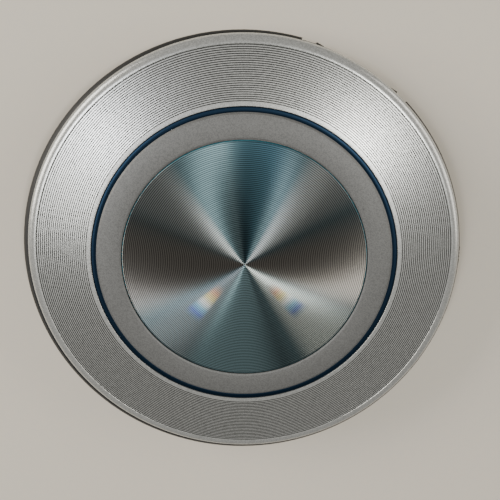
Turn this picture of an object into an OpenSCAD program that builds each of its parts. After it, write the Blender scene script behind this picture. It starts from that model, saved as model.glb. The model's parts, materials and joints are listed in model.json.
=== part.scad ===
// Slim round portable disc player: lid, case, disc drive, electronics, cells and controls.
// Millimetres. +Z is up, the hinge is at +Y, the front at -Y, and the feet stand on z = 0.

/* [Disc well] */
// Radius of the disc that the player takes
disc_r = 60; // [58:0.5:75]
// Gap between the disc's edge and the wall of its well
disc_gap = 0.5; // [0.4:0.1:1.5]
// Height of the free space above the deck with the lid shut
bay_h = 4.5; // [4.3:0.1:8]
// Height of the disc's underside above the deck
seat_h = 1.4; // [1.2:0.1:2]

/* [Lid] */
// How far the lid reaches past the wall of the disc well
lid_cover = 3.5; // [3.2:0.1:5]
// How far the lid is set back from the case towards the hinge
lid_setback = 1.0; // [0:0.1:1.2]
// Width of the lid's rim
lid_rim = 1.8; // [1.4:0.1:2.2]
// Drop from the seam of the lid to its lower edge
lid_drop = 2.5; // [2.2:0.1:3.5]
// Outer radius of the accent ring
accent_r = 45.3; // [44.5:0.1:50]
// Width of the accent ring
accent_w = 1.5; // [1:0.1:2]
// Radius of the turned centre disc
centre_disc_r = 36.4; // [20:0.1:42]
// Distance from one turned groove to the next
groove_pitch = 0.57; // [0.5:0.01:1]
// Depth of the turned grooves
groove_depth = 0.08; // [0.04:0.01:0.12]

/* [Case] */
// How far the widest part of the case stands out past the lid
girdle_step = 1.9; // [1.6:0.1:4]
// Height of the feet
foot_h = 0.8; // [0.6:0.1:2]
// Height of the space below the deck
drive_h = 8.3; // [8.3:0.1:12]
// Thickness of the case walls and the deck
wall = 1.2; // [1:0.1:1.45]
// How far the flat base is set in from the widest part of the case
base_inset = 9.9; // [8:0.1:11]
// Radius of a case screw's thread
screw_r = 0.85; // [0.7:0.05:1]

/* [Hinge] */
// Radius of the hinge barrel
barrel_r = 1.5; // [1.2:0.05:1.6]
// Half the length of the hinge barrel
barrel_half = 10.4; // [8:0.1:10.8]
// Radius of the hinge pins
hinge_pin_r = 0.6; // [0.4:0.05:0.8]

/* [Disc drive] */
// Radius of the turntable flange
turntable_r = 14.5; // [12:0.1:15]
// Radius of the hub that centres the disc
hub_r = 7.4; // [6.5:0.05:7.45]
// Radius of the spindle motor's can
motor_r = 10; // [8:0.1:11]
// Radius of the spindle shaft
shaft_r = 1; // [0.75:0.05:1.5]
// Radius of the guide rods
rod_r = 1; // [0.8:0.05:1.2]
// Distance of the guide rods from the lens path
rod_y = 15; // [14:0.1:15.5]
// Lead of the feed screw
screw_lead = 3; // [2.5:0.1:4]
// Innermost place of the lens
lens_in = 24.5; // [24:0.1:26]
// Module of the feed gears
gear_module = 0.4; // [0.38:0.01:0.42]
// Teeth on the motor pinion
pinion_teeth = 12; // [10:1:12]
// Teeth on the screw gear
screw_teeth = 18; // [16:1:18]

/* [Cells] */
// Length of one rechargeable cell
cell_l = 67; // [50:0.1:68]
// Width of one rechargeable cell
cell_w = 16.7; // [12:0.1:17]
// Thickness of one rechargeable cell
cell_t = 6.1; // [5:0.1:6.5]

/* [Controls] */
// Travel of the push keys
key_travel = 0.45; // [0.3:0.05:0.5]
// Height of the push keys
key_h = 2.4; // [1.8:0.1:2.8]
// Bearing of the play key around the case, in degrees
play_az = 294; // [292:1:296]
// Travel of the open slider
open_travel = 3.5; // [2.5:0.1:4]
// Travel of the hold knob
hold_travel = 3; // [2:0.1:3.5]
// Bearing of the hold knob around the case, in degrees
hold_az = 31; // [26:1:36]

/* [Sockets] */
// Radius of the headphone socket's bore
phone_r = 1.8; // [1.7:0.05:2]
// Depth of the headphone socket's bore
phone_depth = 12.5; // [11:0.5:14]
// Radius of the power inlet's bore
power_r = 2.1; // [1.9:0.05:2.3]

/* [Hidden] */
$fn = 96;
eps = 0.02;
run_gap = 0.05;
fit_gap = 0.02;
clear = 0.3;

bay_r = disc_r + disc_gap;
lid_r = bay_r + lid_cover;
girdle_r = lid_r + girdle_step;
part_inset = 0.9;
part_r = girdle_r - part_inset;
base_r = girdle_r - base_inset;

base_z = foot_h;
floor_z = base_z + wall;
under_deck_z = floor_z + drive_h;
deck_z = under_deck_z + wall;
seat_z = deck_z + seat_h;
part_z = under_deck_z - 0.7;
well_wall = 1.2;
ledge_t = 0.6;
ledge_w = 1.2;
top_z = deck_z + 3.4;
girdle_z = top_z - 1.6;
lid_z = top_z + clear;
liner_t = 0.5;
liner_z = deck_z + bay_h;
shell_z = liner_z + liner_t;
recess_z = shell_z + 0.6;
seam_z = lid_z + lid_drop;
lid_top_z = seam_z + 0.2;
seam_r = lid_r - 2.8;
rim_in_r = lid_r - lid_rim;

hinge_y = bay_r + 2.6;
hinge_z = top_z - 1.7;
ear_w = 2.3;
ear_gap = 0.3;
gutter_half = 17;
gutter_y = bay_r + 0.6;

gear_z = floor_z + 4.3;
screw_y = -(rod_y + 5);
centre_gap = 0.03;
motor_can_r = 3.8;
motor_shaft_r = 0.75;
gear_w = 2.2;
nib_back = 6.5;
pickup_x = lens_in - 9;
pickup_top = under_deck_z + 0.5;
pinion_r = gear_module * pinion_teeth / 2;
screw_gear_r = gear_module * screw_teeth / 2;
feed_y = screw_y - pinion_r - screw_gear_r - centre_gap;
plate_z = under_deck_z - 1.5;
plate_t = 1;
rod_z = gear_z + 0.1;
lens_out = disc_r - 2.5;
rod_in_x = 10;
rod_out_x = lens_out - 3.5;
bracket_t = 2.5;
thread_r = 1.2;
thread_wave = 0.3;

cell_gap = 0.6;
cell_z = floor_z + 0.2;
cell_x1 = -13.9;
cell_x0 = cell_x1 - 2 * cell_w - cell_gap;
cell_y = cell_l / 2;
contact_t = 0.4;
spring_reach = 2;
bay_y = cell_y + spring_reach + contact_t;
bay_wall = 1;
bay_wall_h = drive_h - ledge_t - 0.2;
door_x = cell_x1 + 0.4;
door_y = bay_y - 0.9;
door_top = floor_z + 6.4;
rail = 0.8;

board_z = floor_z + 0.9;
board_t = 1;
board_edge = disc_r - 0.7;
board_w = 11.3;
standoff_r = 1.5;
standoff_place = board_edge - board_w + 2.5;
parts_z = board_z + board_t;

key_mid = part_z - 1.8;
key_rear = -0.35 - key_travel;
keys = [[233, 4.6], [245, 4.6], [play_az, 5], [306, 3.6], [318, 3.6], [328, 3.6]];
knob_mid = girdle_z - 2.0;
knob_h = 2.4;
tooth_x = 2.9;
tooth_w = 2.3;

boss_r = 2.2;
boss_spots = [[37.5, 37.5], [37.5, -37.5], [-16.4, 50.4], [-16.4, -50.4]];
head_r = 1.6;
head_h = 0.9;
foot_r = 4;
foot_spots = [[20.6, 42.2], [20.6, -42.2], [-23, 42.2], [-23, -42.2]];
damper_spots = [[-7.5, 17.5], [-6, -23], [40, 20.6], [33, -26.6]];
post_r = 1.2;
grommet_r = 2.5;
grommet_neck = 1.9;

phone_az = 118;
power_az = 62;
socket_z = parts_z + 3.1;
socket_nose = 2.4;
socket_mouth = part_r - 0.7;
switch_r = (bay_r + part_r) / 2;
recess_r = part_r - 0.35;
power_depth = 8;

// Outer radius of the case's lower side at a height: an elliptical bowl
function bowl_r(z) =
    base_r + (part_r - base_r) * sqrt(max(0, 1 - pow((part_z - z) / (part_z - base_z), 2)));

// Outer radius of the case's upper side at a height: a soft girdle that turns in at the top
function rim_r(z) = z < girdle_z
    ? part_r + part_inset * sin(90 * (z - part_z) / (girdle_z - part_z))
    : girdle_r - (girdle_r - lid_r - 0.5) * (1 - cos(90 * (z - girdle_z) / (top_z - girdle_z)));

function steps(low, high, count) = [for (i = [0:count]) low + (high - low) * i / count];

// A point of an involute tooth flank: base radius and unwound angle in degrees
function involute_at(base, turn) = base * [cos(turn) + turn * PI / 180 * sin(turn),
                                           sin(turn) - turn * PI / 180 * cos(turn)];
function turned(p, a) = [p[0] * cos(a) - p[1] * sin(a), p[0] * sin(a) + p[1] * cos(a)];
function flipped(p) = [p[0], -p[1]];
function reversed(list) = [for (i = [len(list) - 1:-1:0]) list[i]];

module at_bearing(az) {
    rotate([0, 0, az]) children();
}

// A band around the Z axis from one bearing to another with a radius and height outline
module sector(az, half, outline) {
    rotate([0, 0, az - half]) rotate_extrude(angle = 2 * half) polygon(outline);
}

module along_x(x, y, z, r, length) {
    translate([x, y, z]) rotate([0, 90, 0]) cylinder(r = r, h = length);
}

// ---- Lid ----

module lid_cut_for_catch() {
    translate([-3.4, lid_setback - lid_r + 1, lid_z - 1]) cube([6.8, lid_rim + 2, shell_z - lid_z + 1]);
}

module lid_shell() {
    grooves = floor((seam_r - 0.6 - accent_r) / groove_pitch);
    outline = concat(
        [[rim_in_r, lid_z], [lid_r, lid_z], [lid_r, lid_z + 0.75]],
        [for (a = steps(15, 75, 4)) [seam_r + 0.1 + (lid_r - seam_r - 0.1) * cos(a),
                                     lid_z + 0.75 + (lid_drop - 0.75) * sin(a)]],
        [[seam_r + 0.15, seam_z], [seam_r, seam_z - 0.2], [seam_r - 0.15, seam_z]],
        [for (i = [0:grooves - 1]) each [
            [seam_r - 0.4 - i * groove_pitch, seam_z + 0.2 * i / grooves],
            [seam_r - 0.4 - (i + 0.5) * groove_pitch, seam_z - groove_depth + 0.2 * i / grooves]]],
        [[accent_r + 0.1, lid_top_z], [accent_r + 0.1, recess_z], [0, recess_z], [0, shell_z],
         [rim_in_r, shell_z]]);
    color("silver") difference() {
        translate([0, lid_setback, 0]) rotate_extrude() polygon(outline);
        lid_cut_for_catch();
    }
}

module accent_ring() {
    low = recess_z;
    color("midnightblue") translate([0, lid_setback, 0]) rotate_extrude()
        polygon([[accent_r - accent_w, low], [accent_r, low], [accent_r, lid_top_z - 0.3],
                 [accent_r - 0.3, lid_top_z - 0.15], [accent_r - accent_w, lid_top_z - 0.15]]);
}

module trim_ring() {
    outer = accent_r - accent_w - fit_gap;
    inner = centre_disc_r + 0.1;
    color("gainsboro") translate([0, lid_setback, 0]) rotate_extrude()
        polygon([[inner, recess_z], [outer, recess_z], [outer, lid_top_z - 0.25],
                 [outer - 0.5, lid_top_z + 0.1], [inner + 0.6, lid_top_z + 0.1],
                 [inner, lid_top_z - 0.1]]);
}

module centre_disc() {
    rings = floor((centre_disc_r - 2) / (3 * groove_pitch));
    outline = concat(
        [[0, recess_z], [centre_disc_r, recess_z], [centre_disc_r, lid_top_z - 0.35],
         [centre_disc_r - 0.4, lid_top_z - 0.2]],
        [for (i = [0:rings - 1]) each [
            [centre_disc_r - 0.6 - 3 * i * groove_pitch, lid_top_z - 0.2],
            [centre_disc_r - 0.6 - 3 * (i + 0.5) * groove_pitch, lid_top_z - 0.2 - groove_depth / 2]]],
        [[0, lid_top_z - 0.2]]);
    color("steelblue") translate([0, lid_setback, 0]) rotate_extrude() polygon(outline);
}

// The inner frame carries the hinge barrel at the back and the catch at the front
module lid_frame() {
    web_y = gutter_y + 0.35;
    hook_y = -(bay_r + 0.15);
    hook_t = 1.1;
    nose_z = top_z - 3.6;
    color([0.1, 0.1, 0.11]) difference() {
        union() {
            translate([0, lid_setback, liner_z]) cylinder(r = rim_in_r - 0.15, h = liner_t);
            intersection() {
                translate([-barrel_half, web_y, hinge_z])
                    cube([2 * barrel_half, 4, liner_z + eps - hinge_z]);
                translate([0, lid_setback, 0]) cylinder(r = rim_in_r - 0.15, h = shell_z);
            }
            translate([0, hinge_y, hinge_z]) rotate([0, 90, 0])
                cylinder(r = barrel_r, h = 2 * barrel_half, center = true);
            translate([-2.6, hook_y - hook_t, nose_z]) cube([5.2, hook_t, liner_z + liner_t - nose_z]);
            translate([-2.6, hook_y - hook_t - 1, nose_z]) cube([5.2, 1 + eps, 0.9]);
        }
        translate([0, hinge_y, hinge_z]) rotate([0, 90, 0])
            cylinder(r = hinge_pin_r + run_gap, h = 2 * barrel_half + 1, center = true);
    }
}

module lid_pads() {
    color([0.15, 0.15, 0.16]) for (az = [45, 165, 285])
        at_bearing(az) translate([bay_r - 6, 0, liner_z - 0.2]) cylinder(r = 2, h = 0.2);
}

// ---- Case ----

module key_hole(az, half) {
    gap_angle = 0.3;
    sector(az, half + gap_angle, [
        [part_r - 5, key_mid - key_h / 2 - clear], [girdle_r + 1, key_mid - key_h / 2 - clear],
        [girdle_r + 1, key_mid + key_h / 2 + clear], [part_r - 5, key_mid + key_h / 2 + clear]]);
}

module screw_axis_cuts(low, high, r) {
    for (p = boss_spots) translate([p[0], p[1], low]) cylinder(r = r, h = high - low);
}

module hinge_gutter() {
    translate([-gutter_half, gutter_y, hinge_z - barrel_r - clear])
        cube([2 * gutter_half, girdle_r, top_z]);
}

// Slot for a knob's stem and the shallow recess that its grip slides in
module knob_cuts(az, stem_half, grip_half) {
    for (cut = [[stem_half, part_r - 3, 0.9], [grip_half, recess_r, knob_h / 2 + 0.3]])
        sector(az, asin((cut[0] + 0.4) / girdle_r), [
            [cut[1], knob_mid - cut[2]], [girdle_r + 1, knob_mid - cut[2]],
            [girdle_r + 1, knob_mid + cut[2]], [cut[1], knob_mid + cut[2]]]);
}

module pickup_window() {
    half = 10.3;
    translate([0, -half, under_deck_z - ledge_t - 1])
        cube([lens_out + 3.5, 2 * half, ledge_t + wall + 2]);
}

// Room for the lid's hook and the tooth of the open slider
module catch_well() {
    translate([-3.4, -(bay_r + 2.9), under_deck_z + 0.3]) cube([9.5 + open_travel, 3.9, top_z]);
}

// The deck drops into the upper case from above and its bosses hold it on the ledge
module well_deck() {
    boss_z = floor_z + 1.4;
    color([0.1, 0.11, 0.12]) difference() {
        union() {
            translate([0, 0, under_deck_z]) cylinder(r = bay_r - fit_gap, h = wall);
            for (p = boss_spots) translate([p[0], p[1], boss_z])
                cylinder(r = boss_r, h = under_deck_z + eps - boss_z);
        }
        screw_axis_cuts(floor_z, floor_z + 6.8, screw_r + fit_gap);
        translate([0, 0, under_deck_z - 1]) cylinder(r = turntable_r + 0.7, h = wall + 2);
        pickup_window();
        catch_well();
    }
}

module upper_case() {
    side = steps(part_z, girdle_z, 5);
    turn = steps(girdle_z + 0.3, top_z, 4);
    ring_z = top_z - 1.2;
    outline = concat(
        [[bay_r, under_deck_z], [bay_r - ledge_w, under_deck_z], [bay_r - ledge_w, under_deck_z - ledge_t],
         [bay_r + well_wall, under_deck_z - ledge_t], [bay_r + well_wall, ring_z],
         [part_r - wall, ring_z], [part_r - wall, part_z]],
        [for (z = side) [rim_r(z), z]],
        [for (z = turn) [rim_r(z), z]],
        [[bay_r, top_z]]);
    color([0.09, 0.1, 0.11]) difference() {
        union() {
            difference() {
                rotate_extrude() polygon(outline);
                hinge_gutter();
            }
            intersection() {
                union() for (side = [-1, 1]) translate([side * (barrel_half + ear_gap + ear_w / 2), 0, 0]) {
                    translate([0, hinge_y, hinge_z]) rotate([0, 90, 0])
                        cylinder(r = barrel_r, h = ear_w, center = true);
                    translate([-ear_w / 2, gutter_y - eps, hinge_z - barrel_r - clear - eps])
                        cube([ear_w, hinge_y - gutter_y + barrel_r, barrel_r + clear]);
                }
                cylinder(r = girdle_r - 0.1, h = top_z);
            }
        }
        translate([0, hinge_y, hinge_z]) rotate([0, 90, 0])
            cylinder(r = hinge_pin_r + fit_gap, h = 2 * (barrel_half + ear_gap + ear_w + 1), center = true);
        pickup_window();
        catch_well();
        knob_cuts(270 + asin(open_travel / 2 / girdle_r), 1.6 + open_travel / 2, 4.5 + open_travel / 2);
        knob_cuts(hold_az, 1.6 + hold_travel / 2, 2.6 + hold_travel / 2);
        at_bearing(300) translate([switch_r, 0, ring_z - 1]) cylinder(r = 0.7, h = 3);
    }
}

module battery_zone(grow) {
    translate([-girdle_r, -door_y - grow, 0])
        cube([girdle_r + door_x + grow, 2 * (door_y + grow), door_top + grow]);
}

module bowl(inset, low) {
    rotate_extrude() polygon(concat([[0, low]], [for (z = steps(low, part_z, 12)) [bowl_r(z) - inset, z]],
                                    [[0, part_z]]));
}

module lower_case() {
    color([0.11, 0.12, 0.13]) difference() {
        union() {
            difference() {
                bowl(0, base_z);
                rotate_extrude() polygon(concat([[0, floor_z]],
                    [for (z = steps(floor_z, part_z, 12)) [bowl_r(z) - wall, z]], [[0, part_z + 1]]));
                translate([0, 0, part_z - eps]) cylinder(r = part_r - wall, h = 2);
            }
            for (p = boss_spots) translate([p[0], p[1], base_z + eps])
                cylinder(r = boss_r, h = floor_z + 1.35 - base_z);
            for (p = damper_spots) translate([p[0], p[1], floor_z - eps])
                cylinder(r = post_r, h = plate_z + 1.2 - floor_z);
            for (p = damper_spots) translate([p[0], p[1], floor_z - eps])
                cylinder(r = grommet_r, h = plate_z - 1 - floor_z);
            // Walls of the cell bay
            translate([door_x + clear, -bay_y - bay_wall, floor_z - eps])
                cube([bay_wall, 2 * (bay_y + bay_wall), bay_wall_h]);
            for (side = [-1, 1]) translate([cell_x0, side > 0 ? bay_y : -bay_y - bay_wall, floor_z - eps])
                cube([door_x + clear + eps - cell_x0, bay_wall, bay_wall_h]);
            // Standoffs of the boards
            for (a = [70, 100, 238, 300, 320]) at_bearing(a) translate([standoff_place, 0, floor_z - eps])
                cylinder(r = standoff_r, h = board_z - floor_z + eps);
        }
        battery_zone(clear);
        screw_axis_cuts(base_z - 1, floor_z + 3, screw_r + 0.15);
        screw_axis_cuts(base_z - 1, base_z + 1.1, head_r + 0.25);
        for (p = foot_spots) translate([p[0], p[1], base_z - 1]) cylinder(r = foot_r + 0.1, h = 1.4);
        for (k = keys) key_hole(k[0], k[1]);
        at_bearing(phone_az) translate([part_r - 4, 0, socket_z]) rotate([0, 90, 0])
            cylinder(r = socket_nose + 0.1, h = 8);
        at_bearing(power_az) translate([part_r - 4, 0, socket_z]) rotate([0, 90, 0])
            cylinder(r = socket_nose + 0.1, h = 8);
        for (p = damper_spots) translate([p[0], p[1], plate_z - 3]) cylinder(r = 0.5, h = 6);
    }
}

module feet() {
    color([0.13, 0.13, 0.14]) for (p = foot_spots) translate([p[0], p[1], 0])
        rotate_extrude() polygon([[0, 0], [foot_r - 0.4, 0], [foot_r, 0.4], [foot_r, base_z + 0.4],
                                  [0, base_z + 0.4]]);
}

module case_screws() {
    color("dimgray") for (p = boss_spots) translate([p[0], p[1], base_z + 0.2]) difference() {
        union() {
            cylinder(r = head_r, h = head_h);
            cylinder(r = screw_r, h = 6.5);
        }
        for (a = [0, 90]) rotate([0, 0, a]) translate([-1, -0.2, -eps]) cube([2, 0.4, 0.5]);
    }
}

module hinge_pins() {
    color("lightgray") for (side = [-1, 1])
        along_x(side > 0 ? barrel_half - 3 : -barrel_half - ear_gap - ear_w,
                hinge_y, hinge_z, hinge_pin_r, 3 + ear_gap + ear_w);
}

// The door slides outwards; its flanges run on the floor of the case
module battery_door() {
    flange_x = door_x - 26;
    color([0.13, 0.14, 0.15]) {
        difference() {
            intersection() {
                bowl(0, base_z);
                battery_zone(0);
            }
            rotate_extrude() polygon(concat([[0, floor_z]],
                [for (z = steps(floor_z, part_z, 12)) [bowl_r(z) - wall, z]], [[0, part_z + 1]]));
        }
        for (side = [-1, 1]) {
            translate([flange_x, side > 0 ? door_y - 1 : -door_y - rail, floor_z + 0.15])
                cube([24, rail + 1, 0.6]);
            translate([flange_x, side > 0 ? door_y - 1 : -door_y, floor_z - eps]) cube([24, 1, 0.3]);
        }
    }
}

// ---- Disc drive ----

module traverse_chassis() {
    plate_x0 = -11.5;
    plate_x1 = rod_out_x + bracket_t;
    color([0.62, 0.63, 0.64]) difference() {
        union() {
            intersection() {
                translate([plate_x0, -30.5, plate_z]) cube([plate_x1 - plate_x0, 54.5, plate_t]);
                cylinder(r = bay_r - ledge_w - clear, h = plate_z + plate_t);
            }
            for (x = [rod_in_x, rod_out_x]) for (y = [-rod_y, rod_y, screw_y])
                translate([x, y - 2, rod_z - 2]) cube([bracket_t, 4, plate_z + eps - rod_z + 2]);
            translate([14, feed_y - 4.6, gear_z]) cube([5, 8.4, plate_z + eps - gear_z]);
        }
        // Windows for the pickup, the spindle, the gears and the dampers
        translate([13, -13, plate_z - 1]) cube([plate_x1, 26, plate_t + 2]);
        translate([0, 0, plate_z - 1]) cylinder(r = 4, h = plate_t + 2);
        translate([plate_x0 - 1, -30.6, plate_z - 1]) cube([rod_in_x - plate_x0 + 0.6, 5, plate_t + 2]);
        translate([5.5, screw_y - 8, plate_z - 1]) cube([4.2, 13, plate_t + 2]);
        for (p = damper_spots) translate([p[0], p[1], plate_z - 1])
            cylinder(r = grommet_neck + fit_gap, h = plate_t + 2);
        for (y = [-rod_y, rod_y]) along_x(rod_in_x - 1, y, rod_z, rod_r + fit_gap, girdle_r);
        along_x(rod_in_x - 1, screw_y, gear_z, thread_r + run_gap, rod_out_x + bracket_t);
        along_x(rod_in_x - 1, feed_y, gear_z, motor_can_r + fit_gap, 16);
    }
}

module dampers() {
    color([0.2, 0.2, 0.22]) for (p = damper_spots) translate([p[0], p[1], 0]) difference() {
        union() {
            translate([0, 0, plate_z - 1]) cylinder(r = grommet_r, h = 1);
            translate([0, 0, plate_z - eps]) cylinder(r = grommet_neck, h = plate_t + 2 * eps);
            translate([0, 0, plate_z + plate_t]) cylinder(r = grommet_r, h = 0.2);
        }
        translate([0, 0, plate_z - 2]) cylinder(r = post_r + fit_gap, h = 4);
    }
}

module damper_screws() {
    color("silver") for (p = damper_spots) translate([p[0], p[1], plate_z + 1.2]) {
        cylinder(r = 1.5, h = 0.25);
        translate([0, 0, -2.5]) cylinder(r = 0.48, h = 2.6);
    }
}

module spindle_motor() {
    color("darkgray") difference() {
        union() {
            translate([0, 0, floor_z + 1]) cylinder(r = motor_r, h = plate_z - floor_z - 1);
            translate([0, 0, plate_z - eps]) cylinder(r = 3, h = plate_t);
        }
        translate([0, 0, floor_z]) cylinder(r = shaft_r + run_gap, h = plate_z);
    }
}

module guide_rod() {
    color("lightgray") along_x(rod_in_x, -rod_y, rod_z, rod_r, rod_out_x + bracket_t - rod_in_x);
}

module support_rod() {
    color("lightgray") along_x(rod_in_x, rod_y, rod_z, rod_r, rod_out_x + bracket_t - rod_in_x);
}

module feed_motor() {
    color("silver") difference() {
        along_x(rod_in_x, feed_y, gear_z, motor_can_r, 14);
        along_x(rod_in_x - 1, feed_y, gear_z, motor_shaft_r + run_gap, 12);
    }
}

module turntable() {
    pad_in = turntable_r - 4;
    color([0.08, 0.08, 0.09]) difference() {
        rotate_extrude() polygon([
            [0, deck_z + 0.2], [turntable_r, deck_z + 0.2], [turntable_r, seat_z - 0.3],
            [turntable_r - 0.5, seat_z - 0.3], [turntable_r - 0.5, seat_z - 0.4],
            [pad_in, seat_z - 0.4], [pad_in, seat_z - 0.2], [hub_r, seat_z - 0.2],
            [hub_r, seat_z + 1.3], [hub_r - 1.2, seat_z + 2.1], [0, seat_z + 2.1]]);
        translate([0, 0, deck_z - 1]) cylinder(r = shaft_r + fit_gap, h = 3.2);
        translate([0, 0, seat_z + 1.6]) cylinder(r = 4, h = 2);
        for (a = [0, 120, 240]) rotate([0, 0, a + 90]) translate([hub_r - 1.75, 0, seat_z + 0.6])
            rotate([0, 90, 0]) cylinder(r = 0.95, h = 3);
    }
}

module spindle_shaft() {
    color("silver") translate([0, 0, floor_z + 0.6])
        cylinder(r = shaft_r, h = deck_z + 2.1 - floor_z - 0.6);
}

module disc_pad() {
    color([0.16, 0.16, 0.17]) translate([0, 0, seat_z - 0.4]) difference() {
        cylinder(r = turntable_r - 0.5 - fit_gap, h = 0.4);
        translate([0, 0, -1]) cylinder(r = turntable_r - 4 + fit_gap, h = 3);
    }
}

module chuck_balls() {
    color("white") for (a = [0, 120, 240])
        rotate([0, 0, a + 90]) translate([hub_r - 0.88, 0, seat_z + 0.6]) sphere(r = 0.85);
}

module hub_cap() {
    color("silver") translate([0, 0, seat_z + 1.6]) difference() {
        cylinder(r = 4 - fit_gap, h = 0.5);
        translate([0, 0, 0.3]) cylinder(r = 2, h = 1);
    }
}

module pickup_body() {
    color([0.07, 0.07, 0.08]) difference() {
        union() {
            translate([pickup_x, -9, gear_z - 1.7]) cube([12.2, 18, pickup_top - gear_z + 1.7]);
            for (side = [-1, 1]) translate([pickup_x, side > 0 ? 8.9 : -rod_y - 2.2, rod_z - 1.8])
                cube([5, rod_y - 6.7, 3.9]);
            translate([pickup_x, screw_y - 2, rod_z + 1.5]) cube([5, 6, 0.6]);
            translate([lens_in - nib_back, screw_y, gear_z + 1.1]) cylinder(r = 0.35, h = 1);
        }
        for (y = [-rod_y, rod_y]) along_x(lens_in - 10, y, rod_z, rod_r + run_gap, 7);
        translate([lens_in, 0, pickup_top - 3]) cylinder(r = 2.2, h = 4);
    }
}

module pickup_cover() {
    color([0.75, 0.72, 0.6]) difference() {
        translate([lens_in - 8.4, -8.4, pickup_top]) cube([11, 16.8, 0.2]);
        translate([lens_in, 0, pickup_top - 1]) cylinder(r = 3.2, h = 2);
    }
}

module objective_lens() {
    color([0.5, 0.6, 0.75]) translate([lens_in, 0, pickup_top - 3]) rotate_extrude()
        polygon([[0, 0], [2.15, 0], [2.15, 3.2], [1.9, 3.4], [1.6, 3.4], [1.3, 3.55], [0.7, 3.7],
            [0, 3.75]]);
}

// A rounded single-start thread: a circle set off its axis and turned once per lead
module feed_screw() {
    start = rod_in_x + bracket_t + 0.5;
    length = rod_out_x - 0.5 - start;
    color("lightgray") {
        along_x(rod_in_x - 4, screw_y, gear_z, thread_r, start - rod_in_x + 4.05);
        along_x(start + length - 0.05, screw_y, gear_z, thread_r, bracket_t + 0.3);
        translate([start, screw_y, gear_z]) rotate([0, 90, 0])
            rotate([0, 0, thread_phase(start)])
            linear_extrude(height = length, twist = -360 * length / screw_lead,
                           slices = ceil(length / screw_lead * 12), $fn = 16)
            translate([thread_wave, 0]) circle(r = thread_r, $fn = 16);
    }
}

// Bearing of the thread's crest at its start, so that the valley lies under the pickup's nib
function thread_phase(start) = -360 * (lens_in - nib_back - start) / screw_lead;

module gear(teeth, width, bore) {
    base = gear_module * teeth / 2 * cos(20);
    pitch = gear_module * teeth / 2;
    tip = pitch + gear_module * 0.95;
    root = pitch - gear_module * 1.2;
    tip_turn = sqrt(pow(tip / base, 2) - 1) * 180 / PI;
    pitch_turn = sqrt(pow(pitch / base, 2) - 1) * 180 / PI;
    pitch_point = involute_at(base, pitch_turn);
    slack = 0.035 / pitch * 180 / PI;
    half_tooth = 90 / teeth - slack + atan2(pitch_point[1], pitch_point[0]);
    flank = [for (t = steps(0, tip_turn, 5)) turned(involute_at(base, t), -half_tooth)];
    side = concat([root * [cos(half_tooth), -sin(half_tooth)]], flank);
    tooth = concat(side, [for (p = reversed(side)) flipped(p)]);
    linear_extrude(height = width) difference() {
        polygon([for (i = [0:teeth - 1]) each [for (p = tooth) turned(p, i * 360 / teeth)]]);
        circle(r = bore);
    }
}

module screw_gear() {
    color("ivory") translate([rod_in_x - 3.2, screw_y, gear_z]) rotate([0, 90, 0])
        rotate([0, 0, 90]) gear(screw_teeth, gear_w, thread_r + fit_gap);
}

module motor_pinion() {
    color([0.8, 0.65, 0.3]) {
        translate([rod_in_x - 3.2, feed_y, gear_z]) rotate([0, 90, 0])
            rotate([0, 0, -90 + 180 / pinion_teeth]) gear(pinion_teeth, gear_w, motor_shaft_r - 0.15);
        along_x(rod_in_x - 3.6, feed_y, gear_z, motor_shaft_r, 13);
    }
}

// ---- Electronics ----

module board_clear() {
    for (p = boss_spots) translate([p[0], p[1], board_z - 1]) cylinder(r = boss_r + clear, h = 4);
}

module main_board() {
    color([0.05, 0.3, 0.15]) difference() {
        intersection() {
            translate([0, 0, board_z]) cylinder(r = disc_r - 1.5, h = board_t);
            union() {
                translate([-girdle_r, bay_y + bay_wall + clear, 0])
                    cube([2 * girdle_r, girdle_r, board_z + 2]);
                translate([door_x + 2, 25, 0]) cube([girdle_r, girdle_r, board_z + 2]);
            }
        }
        board_clear();
    }
}

module key_board() {
    color([0.05, 0.3, 0.15]) difference() {
        sector(278, 52, [[board_edge - board_w, board_z], [board_edge, board_z],
                         [board_edge, parts_z], [board_edge - board_w, parts_z]]);
        board_clear();
        translate([-girdle_r, -bay_y - bay_wall - clear, board_z - 1])
            cube([girdle_r + door_x + 2, girdle_r, 4]);
    }
}

module chips() {
    color([0.06, 0.06, 0.07]) for (c = [[8, 43, 12, 12], [27, 31, 8, 8], [-6, 32, 7, 10], [15, 31.5, 5, 6],
                                        [40, 28, 6, 5]])
        translate([c[0] - c[2] / 2, c[1] - c[3] / 2, parts_z]) cube([c[2], c[3], 1.2]);
}

module capacitors() {
    color([0.3, 0.32, 0.4]) for (p = [[-2, 52.5], [4.5, 53.5], [10.5, 53], [45, 33]])
        translate([p[0], p[1], parts_z]) cylinder(r = 2.2, h = 4.2);
}

module tact_switches() {
    face = part_r - 3.95;
    color("silver") for (k = keys) at_bearing(k[0]) {
        translate([face - 3.6, -2, parts_z]) cube([3, 4, 3.6]);
        translate([face - 0.7, 0, key_mid]) rotate([0, 90, 0]) cylinder(r = 0.8, h = 0.7);
    }
}

module socket_body(az, bore, depth) {
    at_bearing(az) difference() {
        union() {
            translate([socket_mouth - 5, 0, socket_z]) rotate([0, 90, 0]) cylinder(r = socket_nose, h = 5);
            translate([socket_mouth - 14, -3.2, parts_z]) cube([10.8, 6.4, socket_z - parts_z + 2.6]);
        }
        translate([socket_mouth - depth, 0, socket_z]) rotate([0, 90, 0]) cylinder(r = bore, h = depth + 1);
    }
}

module headphone_jack() {
    color([0.08, 0.08, 0.09]) socket_body(phone_az, phone_r, phone_depth);
}

module power_inlet() {
    color([0.08, 0.08, 0.09]) {
        socket_body(power_az, power_r, power_depth);
        at_bearing(power_az) translate([socket_mouth - power_depth - eps, 0, socket_z]) rotate([0, 90, 0])
            cylinder(r = 0.65, h = power_depth - 0.5);
    }
}

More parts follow.
